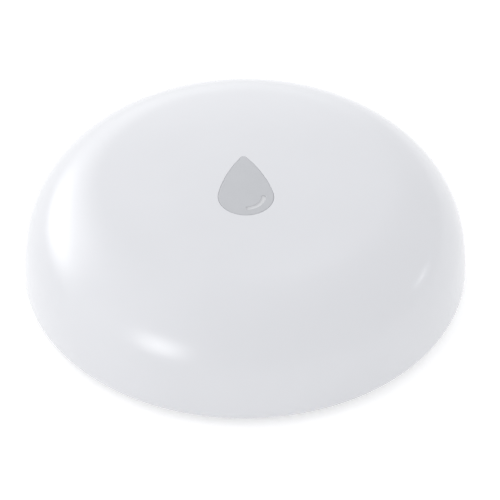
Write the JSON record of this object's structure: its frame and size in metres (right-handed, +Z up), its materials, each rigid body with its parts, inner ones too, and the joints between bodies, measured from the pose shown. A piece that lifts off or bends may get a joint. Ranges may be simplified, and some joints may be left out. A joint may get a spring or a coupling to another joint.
{
  "type": "water leak sensor",
  "caption": "Round pebble-shaped water leak sensor with a drop-shaped press key, a twist-off battery cover and metal probes under its base.",
  "frame": {"origin": "on the floor under the middle of the puck", "axes": "+Z up through the crown, +Y towards the tip of the drop-shaped key, +X towards the right-hand probe"},
  "size_m": [0.05, 0.05, 0.015],
  "materials": {
    "shell_white": "smooth gloss moulding",
    "key_grey": "satin elastomer",
    "base_white": "fine satin moulding",
    "seal_grey": "moulded silicone",
    "probe_steel": "turned, nickel plated",
    "contact_brass": "stamped or turned brass",
    "spring_gold": "gold-flashed spring wire",
    "carrier_grey": "moulded nylon",
    "cell_metal": "nickel-plated steel can",
    "contact_steel": "stamped spring steel",
    "board_green": "solder-masked laminate",
    "screw_steel": "zinc-plated steel",
    "switch_black": "moulded switch body",
    "plunger_white": "moulded acetal",
    "led_clear": "clear epoxy over a white case",
    "chip_black": "moulded epoxy",
    "crystal_metal": "metal can",
    "antenna_ceramic": "glazed ceramic",
    "chip_ceramic": "ceramic with tinned ends"
  },
  "bodies": {
    "battery_cover": {"battery_cover": "base_white", "probe_left": "probe_steel", "probe_right": "probe_steel", "probe_seal_left": "seal_grey", "probe_seal_right": "seal_grey", "probe_nut_left": "contact_brass", "probe_nut_right": "contact_brass", "contact_plate_left": "contact_brass", "contact_plate_right": "contact_brass"},
    "cover_seal": {"cover_seal": "seal_grey"},
    "housing": {"top_shell": "shell_white", "base_frame": "base_white", "circuit_board": "board_green", "board_screws": "screw_steel", "cell_carrier": "carrier_grey", "coin_cell": "cell_metal", "cell_negative_spring": "contact_steel", "cell_positive_clip": "contact_steel", "probe_spring_left": "spring_gold", "probe_spring_right": "spring_gold", "switch_body": "switch_black", "switch_plate": "contact_steel", "status_led": "led_clear", "radio_chip": "chip_black", "crystal": "crystal_metal", "chip_antenna": "antenna_ceramic", "board_chips": "chip_ceramic"},
    "press_key": {"drop_key": "key_grey"},
    "switch_plunger": {"switch_plunger": "plunger_white"}
  },
  "joints": [
    {"name": "housing_lift", "type": "slide", "parent": "battery_cover", "child": "cover_seal", "axis": [0, 0, 1], "range_m": [0, 0.015]},
    {"name": "housing_turn", "type": "hinge", "parent": "cover_seal", "child": "housing", "pos_m": [0, 0, 0], "axis": [0, 0, -1], "range_deg": [0, 30]},
    {"name": "key_press", "type": "slide", "parent": "housing", "child": "press_key", "axis": [0, 0, -1], "range_m": [0, 0.0003], "stiffness_N_per_m": 600, "springref_m": -0.0015},
    {"name": "plunger_press", "type": "slide", "parent": "housing", "child": "switch_plunger", "axis": [0, 0, -1], "range_m": [0, 0.0003]}
  ],
  "couplings": [
    {"joint": "plunger_press", "follows": "key_press", "ratio": 1}
  ]
}
